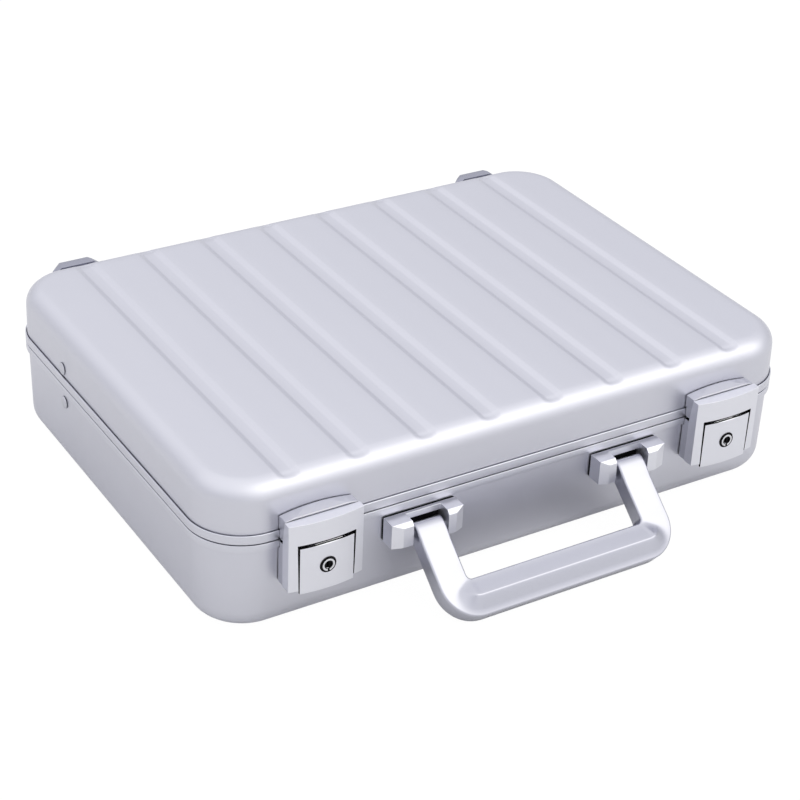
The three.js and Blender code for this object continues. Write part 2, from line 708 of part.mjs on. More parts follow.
// The handle lies in its own plane: x across, -y outward from the pivot, z up from the plane.
function handleBody() {
  const shape = new THREE.Shape();
  const r = 25;
  const inset = 1.5;
  const outer = HANDLE_HALF - inset;
  const reach = HANDLE_REACH - inset;
  const inner = HANDLE_INNER + inset;
  const start = GRIP_START + inset;
  shape.moveTo(outer, 0);
  shape.lineTo(inner, 0);
  shape.lineTo(inner, -start + 3);
  shape.absarc(inner - 3, -start + 3, 3, 0, -Math.PI / 2, true);
  shape.lineTo(-inner + 3, -start);
  shape.absarc(-inner + 3, -start + 3, 3, -Math.PI / 2, -Math.PI, true);
  shape.lineTo(-inner, 0);
  shape.lineTo(-outer, 0);
  shape.lineTo(-outer, -reach + r);
  shape.absarc(-outer + r, -reach + r, r, Math.PI, 1.5 * Math.PI, false);
  shape.lineTo(outer - r, -reach);
  shape.absarc(outer - r, -reach + r, r, -Math.PI / 2, 0, false);
  const bar = new THREE.ExtrudeGeometry(shape, {
    depth: HANDLE_TOP - HANDLE_UNDER - 2 * inset,
    bevelEnabled: true, bevelThickness: inset, bevelSize: inset, bevelSegments: 2, curveSegments: 8,
  });
  bar.translate(0, 0, HANDLE_UNDER + inset);
  const crestY = -(GRIP_START + HANDLE_REACH) / 2;
  const foot = HANDLE_TOP - 1.2;
  const ridge = loft([
    [[-77, -GRIP_START - 1, foot], [77, -GRIP_START - 1, foot],
      [77, -HANDLE_REACH + 1.5, foot], [-77, -HANDLE_REACH + 1.5, foot]],
    [[-68, crestY + 1, GRIP_CREST], [68, crestY + 1, GRIP_CREST],
      [68, crestY - 1, GRIP_CREST], [-68, crestY - 1, GRIP_CREST]],
  ].map((loop) => loop.map(([x, y, z]) => new THREE.Vector3(x, y, z))));
  const knuckles = [-1, 1].map((side) => {
    const profile = new THREE.Shape();
    profile.moveTo(-12, HANDLE_TOP);
    profile.lineTo(-1, 7.1);
    profile.lineTo(3.8, 6);
    profile.lineTo(5.5, 3.2);
    profile.absarc(0, 0, 6.2, 0.45, -Math.PI / 2, true);
    profile.lineTo(-9, HANDLE_UNDER);
    profile.lineTo(-12, HANDLE_UNDER);
    const middle = (HANDLE_HALF + HANDLE_INNER) / 2 * side;
    const half = (HANDLE_HALF - HANDLE_INNER) / 2;
    return alongX(profile, middle - half, middle + half, 6);
  });
  const trimmed = cut(bar, box(-120, 120, -8, 20, -20, 20));
  return cut(join(trimmed, ridge, ...knuckles), rodX(HANDLE_PIN_R + GAP, -120, 120, 0, 0, 20));
}

for (const [label, side] of SIDES) {
  const place = [side * BRACKET_X, 0, 0];
  piece(base, `handle_gasket_${label}`, handleGasket(side), blackRubber);
  piece(base, `handle_bracket_${label}`, handleBracket(side), castSilver, place);
  const pin = rodX(HANDLE_PIN_R, 1.6 - BRACKET_HALF, BRACKET_HALF - 1.6, HANDLE_PIVOT_Y, HANDLE_PIVOT_Z);
  piece(base, `handle_pin_${label}`, pin, brightSteel, place);
}

const handleGroup = new THREE.Group();
handleGroup.position.set(0, HANDLE_PIVOT_Y, HANDLE_PIVOT_Z);
handleGroup.rotation.x = THREE.MathUtils.degToRad(HANDLE_TILT);
base.add(handleGroup);
piece(handleGroup, 'handle', handleBody(), castSilver);

// ---------------------------------------------------------------- lid stays

// A flat bar from its own rivet at the origin toward `end` (y, z), with an eye at each end.
function stayArm(end, side, plane, eye) {
  const [y, z] = end;
  const length = Math.hypot(y, z);
  const shape = new THREE.Shape();
  shape.moveTo(0, -STAY_HALF);
  shape.lineTo(length, -STAY_HALF);
  shape.absarc(length, 0, STAY_HALF, -Math.PI / 2, Math.PI / 2, false);
  shape.lineTo(0, STAY_HALF);
  shape.absarc(0, 0, STAY_HALF, Math.PI / 2, 1.5 * Math.PI, false);
  for (const [at, radius] of [[0, 2.8], [length, eye]]) {
    const hole = new THREE.Path();
    hole.absarc(at, 0, radius, 0, 2 * Math.PI, true);
    shape.holes.push(hole);
  }
  const x0 = side > 0 ? plane : -plane - STAY_THICK;
  const bar = alongX(shape, x0, x0 + STAY_THICK, 8);
  return bar.rotateX(Math.atan2(z, y));
}

for (const [label, side] of SIDES) {
  const [middleY, middleZ] = stayMiddle;
  const baseArm = stayArm([middleY - STAY_Y, middleZ - STAY_BASE_Z], side, 217.4, STAY_PIN_R + GAP);
  piece(base, `stay_arm_base_${label}`, baseArm, brightSteel, [0, STAY_Y, STAY_BASE_Z]);
  const lidArm = stayArm([middleY - stayLidY, middleZ - STAY_LID_Z], side, 215, STAY_PIN_R + 0.5);
  piece(lid, `stay_arm_lid_${label}`, lidArm, brightSteel, [0, stayLidY, STAY_LID_Z]);

  const middlePin = turnedX([
    [0, 213.4], [3.6, 213.4], [3.6, 214.5], [STAY_PIN_R, 214.5], [STAY_PIN_R, 219.4],
    [3.2, 219.4], [3.2, 220], [0, 220],
  ], side, middleY, middleZ, 16);
  piece(base, `stay_pin_${label}`, middlePin, brightSteel);

  const baseRivet = turnedX([
    [0, 215.6], [4.2, 215.6], [4.2, 216.9], [2.5, 216.9], [2.5, 219.5], [3.6, 219.5], [3.6, 221.9],
    [2.5, 221.9], [2.5, 226.4], [4.8, 226.4], [4.3, 227.2], [2.6, 227.8], [0, 227.95],
  ], side, STAY_Y, STAY_BASE_Z);
  piece(base, `stay_rivet_base_${label}`, baseRivet, brightSteel);

  const lidRivet = turnedX([
    [0, 213.2], [4.2, 213.2], [4.2, 214.5], [2.5, 214.5], [2.5, 217.1], [3.6, 217.1], [3.6, 223],
    [2.5, 223], [2.5, 226.9], [4.8, 226.9], [4.3, 227.5], [2.6, 227.9], [0, 228],
  ], side, stayLidY, STAY_LID_Z);
  piece(lid, `stay_rivet_lid_${label}`, lidRivet, brightSteel);
}

export default attacheCase;
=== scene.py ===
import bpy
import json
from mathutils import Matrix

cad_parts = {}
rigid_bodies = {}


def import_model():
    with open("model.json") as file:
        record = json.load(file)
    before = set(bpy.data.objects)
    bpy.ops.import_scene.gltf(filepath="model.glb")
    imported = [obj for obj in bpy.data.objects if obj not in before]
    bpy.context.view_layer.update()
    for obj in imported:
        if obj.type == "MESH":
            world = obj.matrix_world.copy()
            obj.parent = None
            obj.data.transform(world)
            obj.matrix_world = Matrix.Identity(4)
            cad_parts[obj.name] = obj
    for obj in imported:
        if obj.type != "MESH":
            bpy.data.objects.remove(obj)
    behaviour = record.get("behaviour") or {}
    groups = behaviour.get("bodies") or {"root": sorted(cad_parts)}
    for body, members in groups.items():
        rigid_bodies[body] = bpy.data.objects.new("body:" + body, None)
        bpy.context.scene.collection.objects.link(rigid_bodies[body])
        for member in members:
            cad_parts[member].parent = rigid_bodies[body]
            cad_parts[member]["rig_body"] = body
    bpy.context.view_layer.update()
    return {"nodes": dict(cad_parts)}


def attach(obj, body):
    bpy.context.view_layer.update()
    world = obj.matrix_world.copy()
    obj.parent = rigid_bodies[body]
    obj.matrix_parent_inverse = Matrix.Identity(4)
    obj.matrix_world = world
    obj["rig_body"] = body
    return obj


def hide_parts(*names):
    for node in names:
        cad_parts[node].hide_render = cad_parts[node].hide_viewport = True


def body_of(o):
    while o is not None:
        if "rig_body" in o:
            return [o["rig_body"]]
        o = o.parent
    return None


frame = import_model()

import json
import math
import bmesh
import bpy
import numpy as np
from mathutils import Matrix, Vector

NODES = frame["nodes"]
MM = 0.001
QUARTER = math.pi / 2

# ------------------------------------------------------------------ dimensions (mm)

# The case's outline in plan, and the middles of its corner arcs.
HALF_X = 228.0
HALF_Y = 166.0
CORNER = 39.0
MID_X = HALF_X - CORNER
MID_Y = HALF_Y - CORNER
CORNER_STEPS = 20

# Heights, and how far each half stands inside the bands, with its edge radius and thickness.
LID_TOP = 109.6
PARTING = 68.5
LID_RIM = PARTING + 2.2
BASE_RIM = PARTING - 2.2
LID_INSET = 1.3
LID_EDGE = 13.0
BASE_INSET = 1.9
BASE_EDGE = 15.5
DRAFT = 0.5
WALL = 1.5
LID_WALL = 3.35
BASE_LINING_UNDER = WALL + 0.6
LID_LINING_TOP = LID_TOP - LID_WALL - 0.25

# The lid's pressed grooves: a flat floor, sloped sides and round ends.
GROOVE_PITCH = 49.2
GROOVES = [(i - 3.5) * GROOVE_PITCH for i in range(8)]
GROOVE_HALF = 8.9
GROOVE_FLOOR = 3.1
GROOVE_DEPTH = 1.75
GROOVE_END = 159.6
GROOVE_ROUND = 5.0
GROOVE_SOFT = 0.22

# The pocket's outline (x0, x1, y0, y1) and the height of its face.
POCKET = (-190.0, 190.0, -118.0, 128.0)
POCKET_FACE = 94.9

# The handle's pivot line, the tilt that it hangs at, its legs and its grip.
PIVOT_Y = -171.6
PIVOT_Z = 46.5
PIN_BORE = 2.5
TILT = math.radians(39.8)
LEG_INNER = 69.0
LEG_OUTER = 90.4
GRIP_INNER = 41.0
GRIP_OUTER = 66.5
BAR_TOP = 8.2
BAR_UNDER = -5.3
INNER_BEND = 3.5
OUTER_BEND = 25.0
RIDGE = 6.1
RIDGE_START = math.radians(22)
RIDGE_RUN = math.radians(52)

# The room behind each latch's front plate, whose faces are painted black as shade, and which faces in it
# look straight to the front and keep their metal.
LATCH_X = 157.5
LATCH_HALF = 21.2
LATCH_LOW = 36.0
LATCH_HIGH = 71.2
LATCH_FRONT = -181.6
HASP_SHOULDER = -177.0
FACES_FRONT = -0.7

# ------------------------------------------------------------------ shader nodes

# A Mix node's sockets when it mixes colours.
MIX_FACTOR = 0
MIX_A = 6
MIX_B = 7
MIX_RESULT = 2


class Nodes:
    """Adds and joins the nodes of a material or a world."""

    def __init__(self, owner, coordinate):
        owner.use_nodes = True
        self.owner = owner
        self.tree = owner.node_tree
        self.coord = self.add("ShaderNodeTexCoord").outputs[coordinate]

    def add(self, kind, **values):
        """A new node, with each value put on the input or the property of that name."""
        node = self.tree.nodes.new(kind)
        for key, value in values.items():
            if key in node.inputs:
                node.inputs[key].default_value = value
            else:
                setattr(node, key, value)
        return node

    def join(self, source, target):
        self.tree.links.new(source, target)

    def noise(self, scale, detail=2.0, rough=0.5):
        node = self.add("ShaderNodeTexNoise", Scale=scale, Detail=detail, Roughness=rough)
        self.join(self.coord, node.inputs["Vector"])
        return node.outputs["Fac"]

    def remap(self, value, low, high, start=0.3, end=0.7, curve="LINEAR"):
        """Takes start..end of a value to low..high."""
        limits = {"From Min": start, "From Max": end, "To Min": low, "To Max": high}
        node = self.add("ShaderNodeMapRange", interpolation_type=curve, **limits)
        self.join(value, node.inputs["Value"])
        return node.outputs["Result"]

    def blend(self, factor, a, b):
        """Colour a where the factor is 0, colour b where it is 1."""
        node = self.add("ShaderNodeMix", data_type="RGBA")
        self.join(factor, node.inputs[MIX_FACTOR])
        node.inputs[MIX_A].default_value = (*a, 1)
        node.inputs[MIX_B].default_value = (*b, 1)
        return node.outputs[MIX_RESULT]

    def maths(self, operation, a, b):
        """A sum or product of two values, each a number or a socket."""
        node = self.add("ShaderNodeMath", operation=operation)
        for value, target in zip((a, b), node.inputs):
            if isinstance(value, float):
                target.default_value = value
            else:
                self.join(value, target)
        return node.outputs["Value"]

    def bump(self, height, distance, strength=1.0):
        node = self.add("ShaderNodeBump", Strength=strength, Distance=distance)
        self.join(height, node.inputs["Height"])
        return node.outputs["Normal"]


def paint(name):
    """A new material's nodes, with the inputs of its shader."""
    nodes = Nodes(bpy.data.materials.new(name), "Object")
    return nodes, nodes.tree.nodes["Principled BSDF"].inputs


# ------------------------------------------------------------------ materials


def metal(name, colour, rough, spread=0.02, shade=0.02, grain=0.0, grain_scale=0):
    """A satin metal: faintly clouded colour, roughness that varies by `spread`, a fine grain."""
    m, inputs = paint(name)
    inputs["Metallic"].default_value = 1.0
    darker = [c * (1 - shade) for c in colour]
    m.join(m.blend(m.noise(14, 3), darker, colour), inputs["Base Color"])
    m.join(m.remap(m.noise(55, 4, 0.6), rough - spread, rough + spread), inputs["Roughness"])
    if grain:
        m.join(m.bump(m.noise(grain_scale, 2, 0.6), grain), inputs["Normal"])
    return m.owner


def plastic(name, colour, rough):
    """A dull plastic, rubber or thread."""
    m, inputs = paint(name)
    inputs["Specular IOR Level"].default_value = 0.1
    lighter = [c * 1.3 for c in colour]
    m.join(m.blend(m.noise(40, 3), colour, lighter), inputs["Base Color"])
    m.join(m.remap(m.noise(200, 3), rough - 0.05, rough + 0.08), inputs["Roughness"])
    m.join(m.bump(m.noise(900, 3), 0.00003), inputs["Normal"])
    return m.owner


def cloth(name, dark, light, pitch):
    """A fine woven cloth: crossing threads at `pitch` metres, with a little mottle."""
    m, inputs = paint(name)
    inputs["Sheen Weight"].default_value = 0.25
    inputs["Sheen Roughness"].default_value = 0.5
    inputs["Specular IOR Level"].default_value = 0.2
    threads = []
    for axis in ("X", "Y"):
        shape = {"Scale": 0.314 / pitch, "Distortion": 0.6, "Detail": 1.0, "Detail Scale": 2.0}
        wave = m.add("ShaderNodeTexWave", bands_direction=axis, **shape)
        m.join(m.coord, wave.inputs["Vector"])
        threads.append(wave.outputs["Fac"])
    weave = m.maths("MULTIPLY", *threads)
    mottle = m.remap(m.noise(60, 4), 0.0, 0.35)
    mixed = m.maths("ADD", m.maths("MULTIPLY", weave, 0.7), mottle)
    m.join(m.blend(mixed, dark, light), inputs["Base Color"])
    m.join(m.remap(m.noise(500, 2), 0.85, 0.97), inputs["Roughness"])
    m.join(m.bump(weave, 0.00012, 0.8), inputs["Normal"])
    return m.owner


shell_metal = metal("anodised_shell", (0.588, 0.592, 0.662), 0.42, grain=0.000006, grain_scale=2600)
band_metal = metal("frame_band", (0.60, 0.605, 0.675), 0.40)
cast_metal = metal("cast_silver", (0.705, 0.71, 0.775), 0.44)
# Painted shade: a darker copy of the cast silver for the keepers, latch housings and stay rivets,
# standing in for the shade on their tops and sides.
keeper_metal_painted_shade = metal("keeper_casting_painted_shade", (0.54, 0.545, 0.605), 0.42)
handle_metal = metal("handle_casting", (0.475, 0.48, 0.55), 0.30)
# Painted shade: the hinge blocks are the same silver metal, made darker and bluer here for the shade on
# their faces.
hinge_metal_painted_shade = metal("hinge_casting_painted_shade", (0.34, 0.345, 0.42), 0.42, spread=0.03, shade=0.03)
plug_metal = metal("key_plug", (0.006, 0.006, 0.007), 0.4, spread=0.04, shade=0.03)
bright_metal = metal("bright_steel", (0.66, 0.665, 0.71), 0.16, spread=0.03, shade=0.03,
                     grain=0.000002, grain_scale=1500)
dark_metal = metal("spring_steel", (0.34, 0.34, 0.37), 0.24, spread=0.04, shade=0.03,
                   grain=0.000003, grain_scale=1500)
rubber = plastic("gasket_rubber", (0.004, 0.004, 0.005), 0.6)
# Painted shade: a black dull finish for the faces deep inside the latches, standing in for the shade seen
# through the gaps round the flaps.
latch_painted_shade = plastic("latch_inside_painted_shade", (0.004, 0.004, 0.005), 0.8)
lining_cloth = cloth("lining_cloth", (0.016, 0.016, 0.020), (0.065, 0.066, 0.078), 0.0007)
pocket_cloth = cloth("pocket_cloth", (0.018, 0.018, 0.022), (0.085, 0.086, 0.098), 0.0011)
piping = plastic("pocket_piping", (0.010, 0.010, 0.012), 0.5)
thread = plastic("thread", (0.16, 0.16, 0.18), 0.8)

# ------------------------------------------------------------------ objects

scene = bpy.context.scene
MERGE_OWN = 2e-6
MERGE_CAD = 4e-6


def show(name, mesh, material, sharp):
    """An object in the scene from a finished mesh, smooth except at sharp edges."""
    mesh.shade_smooth()
    mesh.set_sharp_from_angle(angle=math.radians(sharp))
    mesh.materials.append(material)
    obj = bpy.data.objects.new(name, mesh)
    scene.collection.objects.link(obj)
    return obj


def make(name, shape, material, body, replaces=(), sharp=32.0):
    """An object from a shape's points in mm and its faces, which are turned outward."""
    verts, faces = shape
    mesh = bpy.data.meshes.new(name)
    mesh.from_pydata([tuple(c * MM for c in v) for v in verts], [], faces)
    bm = bmesh.new()
    bm.from_mesh(mesh)
    bmesh.ops.remove_doubles(bm, verts=bm.verts, dist=MERGE_OWN)
    bmesh.ops.recalc_face_normals(bm, faces=bm.faces)
    bm.to_mesh(mesh)
    bm.free()
    obj = show(name, mesh, material, sharp)
    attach(obj, body)
    if replaces:
        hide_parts(*replaces)


def bevel(obj, width, segments, angle):
    mod = obj.modifiers.new("round_edges", "BEVEL")
    mod.width = width * MM
    mod.segments = segments
    mod.limit_method = "ANGLE"
    mod.angle_limit = math.radians(angle)


def keep(node, material, width=0.0):
    """A CAD node that stays: merged, with its hard edges softened, and given a real finish."""
    obj = NODES[node]
    obj.data.materials.clear()
    obj.data.materials.append(material)
    weld = obj.modifiers.new("merge", "WELD")
    weld.merge_threshold = MERGE_CAD
    if width:
        bevel(obj, width, 2, 28.0)


def gets_painted_shade(face):
    """Whether a face is behind the latch's front plate, seen only through the gaps round the flap, and so
    painted black as shade.
    """
    x, y, z = (c / MM for c in face.center)
    shown = face.normal.y < FACES_FRONT and y < HASP_SHOULDER
    beside = abs(abs(x) - LATCH_X) < LATCH_HALF and LATCH_LOW < z < LATCH_HIGH
    return beside and y > LATCH_FRONT and not shown


def dress(node, material, width, segments=3, dark=False):
    """A finer stand-in for a CAD node: flat faces rejoined, edges rounded, curves smooth; with `dark`,
    the faces inside the latch are painted black as shade.
    """
    source = NODES[node]
    bm = bmesh.new()
    bm.from_mesh(source.data)
    bm.transform(source.matrix_world)
    bmesh.ops.remove_doubles(bm, verts=bm.verts, dist=MERGE_CAD)
    bmesh.ops.dissolve_limit(bm, angle_limit=math.radians(0.6), verts=bm.verts, edges=bm.edges)
    bmesh.ops.recalc_face_normals(bm, faces=bm.faces)
    mesh = bpy.data.meshes.new(node + "_dressed")
    bm.to_mesh(mesh)
    bm.free()
    obj = show(node + "_dressed", mesh, material, 30.0)
    # Painted shade: faces behind the latch's front plate get the black finish in place of metal.
    if dark:
        mesh.materials.append(latch_painted_shade)
        for face in mesh.polygons:
            face.material_index = int(gets_painted_shade(face))
    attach(obj, body_of(source)[0])
    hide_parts(node)
    bevel(obj, width, segments, 25.0)
    even = obj.modifiers.new("even_normals", "WEIGHTED_NORMAL")
    even.keep_sharp = True


# ------------------------------------------------------------------ paths and surfaces


def turns(start, end, steps):
    """The cosine and sine of evenly spaced angles, both ends included."""
    return [(math.cos(a), math.sin(a)) for a in np.linspace(start, end, steps + 1)]


def plan(inset, xs, ys, arc=CORNER_STEPS):
    """The case's outline in plan, `inset` mm inside the bands, counter-clockwise."""
    radius = CORNER - inset
    corner = turns(0, QUARTER, arc)[1:-1]
    points = [(HALF_X - inset, y) for y in ys]
    points += [(MID_X + radius * c, MID_Y + radius * s) for c, s in corner]
    points += [(x, HALF_Y - inset) for x in reversed(xs)]
    points += [(-MID_X - radius * s, MID_Y + radius * c) for c, s in corner]
    points += [(inset - HALF_X, y) for y in reversed(ys)]
    points += [(-MID_X - radius * c, -MID_Y - radius * s) for c, s in corner]
    points += [(x, inset - HALF_Y) for x in xs]
    points += [(MID_X + radius * s, -MID_Y - radius * c) for c, s in corner]
    return points


def strip(loops, closed=False, start=0):
    """Quads between equal loops of points, each loop closed on itself."""
    count = len(loops[0])
    rows = len(loops) if closed else len(loops) - 1
    faces = []
    for r in range(rows):
        a = start + r * count
        b = start + (r + 1) % len(loops) * count
        for i in range(count):
            j = (i + 1) % count
            faces.append((a + i, a + j, b + j, b + i))
    return [p for loop in loops for p in loop], faces


def closed_strip(loops):
    """A strip with a face over its first and its last loop."""
    verts, faces = strip(loops)
    count = len(loops[0])
    faces += [tuple(range(count)), tuple(range(len(verts) - count, len(verts)))]
    return verts, faces


def cap(inset, z, xs, ys, steps=4):
    """The flat middle of a shell, as a grid with a fan in each corner, edged by plan(inset)."""
    radii = [(CORNER - inset) * k / steps for k in range(steps + 1)]
    grid_x = [-MID_X - r for r in reversed(radii[1:])] + list(xs) + [MID_X + r for r in radii[1:]]
    grid_y = [-MID_Y - r for r in reversed(radii[1:])] + list(ys) + [MID_Y + r for r in radii[1:]]
    verts = []
    faces = []
    index = {}
    for i, x in enumerate(grid_x):
        for j, y in enumerate(grid_y):
            in_corner = abs(x) > MID_X + 1e-6 and abs(y) > MID_Y + 1e-6
            if not in_corner:
                index[i, j] = len(verts)
                verts.append((x, y, z))
    for i in range(len(grid_x) - 1):
        for j in range(len(grid_y) - 1):
            keys = [(i, j), (i + 1, j), (i + 1, j + 1), (i, j + 1)]
            if all(k in index for k in keys):
                faces.append(tuple(index[k] for k in keys))
    for sx, sy in ((1, 1), (-1, 1), (-1, -1), (1, -1)):
        rows = []
        for r in radii:
            first = len(verts)
            verts += [(sx * (MID_X + r * c), sy * (MID_Y + r * s), z)
                      for c, s in turns(0, QUARTER, CORNER_STEPS)]
            rows.append(range(first, len(verts)))
        for a, b in zip(rows, rows[1:]):
            faces += [(a[k], b[k], b[k + 1], a[k + 1]) for k in range(CORNER_STEPS)]
    return verts, faces


def flat(x, y):
    """The depth of a plain face."""
    return 0.0


def grooved(x, y):
    """How far the lid's face lies below its plain surface: trapezoid grooves with round ends."""
    nearest = min(GROOVES, key=lambda c: abs(x - c))
    past = max(abs(y) - (GROOVE_END - GROOVE_ROUND), 0.0) * GROOVE_HALF / GROOVE_ROUND
    away = math.hypot(x - nearest, past)
    t = min(max((GROOVE_HALF - away) / (GROOVE_HALF - GROOVE_FLOOR), 0.0), 1.0)
    if t < GROOVE_SOFT:
        h = t * t / (2 * GROOVE_SOFT)
    elif t > 1 - GROOVE_SOFT:
        h = 1 - GROOVE_SOFT - (1 - t) ** 2 / (2 * GROOVE_SOFT)
    else:
        h = t - GROOVE_SOFT / 2
    return GROOVE_DEPTH * h / (1 - GROOVE_SOFT)


def shell(inset, edge, face, rim, toward, xs, ys, depth=flat, thick=WALL):
    """A drawn half with wall thickness: flat face, edge radius, straight side, rim and inside.

    `toward` is +1 or -1, the way from the face to the rim, and `depth` presses the face in.
    """
    verts, faces = cap(inset + DRAFT + edge, face, xs, ys)
    verts = [(x, y, z + toward * depth(x, y)) for x, y, z in verts]
    loops = []
    for c, s in turns(0, QUARTER, 14):
        offset = inset + DRAFT + edge * (1 - s)
        z = face + toward * edge * (1 - c)
        loop = []
        for (x, y), (nx, ny) in zip(plan(offset, xs, ys), plan(offset - 1, xs, ys)):
            d = depth(x, y)
            loop.append((x - (nx - x) * d * s, y - (ny - y) * d * s, z + toward * d * c))
        loops.append(loop)
    loops.append([(x, y, rim) for x, y in plan(inset, xs, ys)])
    loops.append([(x, y, rim) for x, y in plan(inset + WALL, xs, ys)])
    inner = edge - thick
    for c, s in reversed(turns(0, QUARTER, 5)):
        offset = inset + WALL + DRAFT + inner * (1 - s)
        z = face + toward * (thick + inner * (1 - c))
        loops.append([(x, y, z) for x, y in plan(offset, xs, ys)])
    more, quads = strip(loops, start=len(verts))
    verts += more
    faces += quads
    faces.append(tuple(range(len(verts) - len(loops[-1]), len(verts))))
    return verts, faces


def fillet(points, radii, steps=4):
    """A closed section with each corner rounded to its own radius."""
    out = []
    for i, radius in enumerate(radii):
        p = np.array(points[i], float)
        a = np.array(points[i - 1], float) - p
        b = np.array(points[(i + 1) % len(points)], float) - p
        length_a = np.linalg.norm(a)
        length_b = np.linalg.norm(b)
        a /= length_a
        b /= length_b
        half = math.acos(float(np.clip(a @ b, -1, 1))) / 2
        cut = min(radius / math.tan(half), length_a * 0.49, length_b * 0.49)
        reach = cut * math.tan(half) / math.sin(half)
        centre = p + (a + b) / np.linalg.norm(a + b) * reach
        start = p + a * cut - centre
        end = p + b * cut - centre
        turn = math.atan2(start[0] * end[1] - start[1] * end[0], float(start @ end))
        for c, s in turns(0, turn, steps):
            turned = np.array((start[0] * c - start[1] * s, start[0] * s + start[1] * c))
            out.append(tuple(centre + turned))
    return out


def band(section, xs, ys):
    """A frame extrusion: a closed section of (inset, z) points, run round the plan."""
    return strip([[(x, y, z) for x, y in plan(inset, xs, ys, 24)] for inset, z in section], closed=True)


def lining(start, edge, face, rim, toward, side, floor):
    """A lining skin: outside and inside loops with a rolled rim, closed at its flat middle."""
    section = [(start + DRAFT + edge * (1 - s), face + toward * edge * (1 - c))
               for c, s in turns(0, QUARTER, 7)]
    section.append((start, rim - toward * 0.5))
    section += [(start + side * (1 - c) / 2, rim - toward * (0.5 - 0.5 * s))
                for c, s in turns(0, math.pi, 5)]
    inner = edge - floor
    section += [(start + side + DRAFT + inner * (1 - s), face + toward * (floor + inner * (1 - c)))
                for c, s in reversed(turns(0, QUARTER, 7))]
    return closed_strip([[(x, y, z) for x, y in plan(inset, few_x, few_y)] for inset, z in section])


# ------------------------------------------------------------------ shells

# Stations along the sides: few for plain faces, and close together where the grooves' sides turn.
few_x = list(np.linspace(-MID_X, MID_X, 25))
few_y = list(np.linspace(-MID_Y, MID_Y, 17))
rib_y = list(np.linspace(-MID_Y, MID_Y, 27))
across_groove = (GROOVE_FLOOR, 3.8, 4.4, 5.2, 7.0, 7.6, 8.2, GROOVE_HALF)
offsets = [*(-d for d in across_groove), 0.0, *across_groove]
rib_x = {round(c + d, 4) for c in GROOVES for d in offsets}
between = [c + GROOVE_PITCH / 2 for c in [GROOVES[0] - GROOVE_PITCH, *GROOVES]]
rib_x |= {round(c + d, 4) for c in between for d in (-8, 0, 8)}
rib_x = sorted({x for x in rib_x if abs(x) < MID_X} | {-MID_X, MID_X})

lid_half = shell(LID_INSET, LID_EDGE, LID_TOP, LID_RIM, -1, rib_x, rib_y, grooved, LID_WALL)
make("lid_shell_skin", lid_half, shell_metal, "lid", ["lid_shell"], sharp=40)
base_half = shell(BASE_INSET, BASE_EDGE, 0.0, BASE_RIM, 1, few_x, few_y)
make("base_shell_skin", base_half, shell_metal, "base", ["base_shell"], sharp=40)

# ------------------------------------------------------------------ bands


def base_band():
    """The base's extrusion: outer band, channel over the shell's rim, and tongue into the lid."""
    lip = 1.6
    wall = 6.0
    inside = 7.6
    low = PARTING - 5.5
    top = PARTING - 0.4
    tongue = PARTING + 4.5
    foot = PARTING - 10
    seat = BASE_RIM + 0.3
    section = [(0, low), (0, top), (wall, top), (wall, tongue), (inside, tongue), (inside, foot),
               (wall, foot), (wall, seat), (lip, seat), (lip, low)]
    radii = [0.3, 0.4, 0.1, 0.5, 0.5, 0.4, 0.4, 0.1, 0.1, 0.2]
    return band(fillet(section, radii), few_x, few_y)


def lid_band():
    """The lid's extrusion: outer band, channel over the shell's rim, and the wall inside it."""
    chamfer = 0.25
    lip = 0.8
    wall = 4.5
    inside = 5.5
    low = PARTING + 0.4
    top = PARTING + 6.75
    seat = LID_RIM - 0.3
    wall_top = PARTING + 7.5
    section = [(0, low), (0, top - chamfer), (chamfer, top), (lip, top), (lip, seat), (wall, seat),
               (wall, wall_top), (inside, wall_top), (inside, low)]
    radii = [0.5, 0.15, 0.12, 0.1, 0.1, 0.1, 0.3, 0.3, 0.2]
    return band(fillet(section, radii), few_x, few_y)


make("base_band", base_band(), band_metal, "base", ["base_frame"], sharp=40)
make("lid_band", lid_band(), band_metal, "lid", ["lid_frame"], sharp=40)

# ------------------------------------------------------------------ linings

base_start = BASE_INSET + WALL + 0.4
base_edge = BASE_EDGE - WALL - 0.4
base_skin = lining(base_start, base_edge, BASE_LINING_UNDER, BASE_RIM - 0.1, 1, 1.8, 1.8)
make("base_lining_cloth", base_skin, lining_cloth, "base", ["base_lining"], sharp=50)
lid_start = LID_INSET + WALL + 0.3
lid_edge = LID_EDGE - WALL - 0.4
lid_skin = lining(lid_start, lid_edge, LID_LINING_TOP, LID_RIM + 0.1, -1, 1.1, 1.8)
make("lid_lining_cloth", lid_skin, lining_cloth, "lid", ["lid_lining"], sharp=50)

# ------------------------------------------------------------------ pocket trim


def pocket_corners(inset):
    """The corners of a rectangle inside the pocket's edge, counter-clockwise from the lowest x and y."""
    x0, x1, y0, y1 = POCKET
    return [(x0 + inset, y0 + inset), (x1 - inset, y0 + inset),
            (x1 - inset, y1 - inset), (x0 + inset, y1 - inset)]


def pocket_outline(inset, radius, z):
    """A closed path inside the pocket's edge, counter-clockwise, with rounded corners."""
    middles = pocket_corners(inset + radius)
    points = []
    for k, (cx, cy) in enumerate([*middles[2:], *middles[:2]]):
        corner = turns(k * QUARTER, (k + 1) * QUARTER, 5)
        points += [(cx + radius * c, cy + radius * s, z) for c, s in corner]
    return points


def bead(path, radius, sides=10):
    """A round bead along a closed level path."""
    rise = np.array((0.0, 0.0, 1.0))
    loops = []
    for i, point in enumerate(path):
        along = np.array(path[(i + 1) % len(path)]) - np.array(path[i - 1])
        along /= np.linalg.norm(along)
        across = np.array((along[1], -along[0], 0.0))
        loops.append([tuple(np.array(point) + radius * (across * c + rise * s))
                      for c, s in turns(0, 2 * math.pi, sides)[:-1]])
    return strip(loops, closed=True)


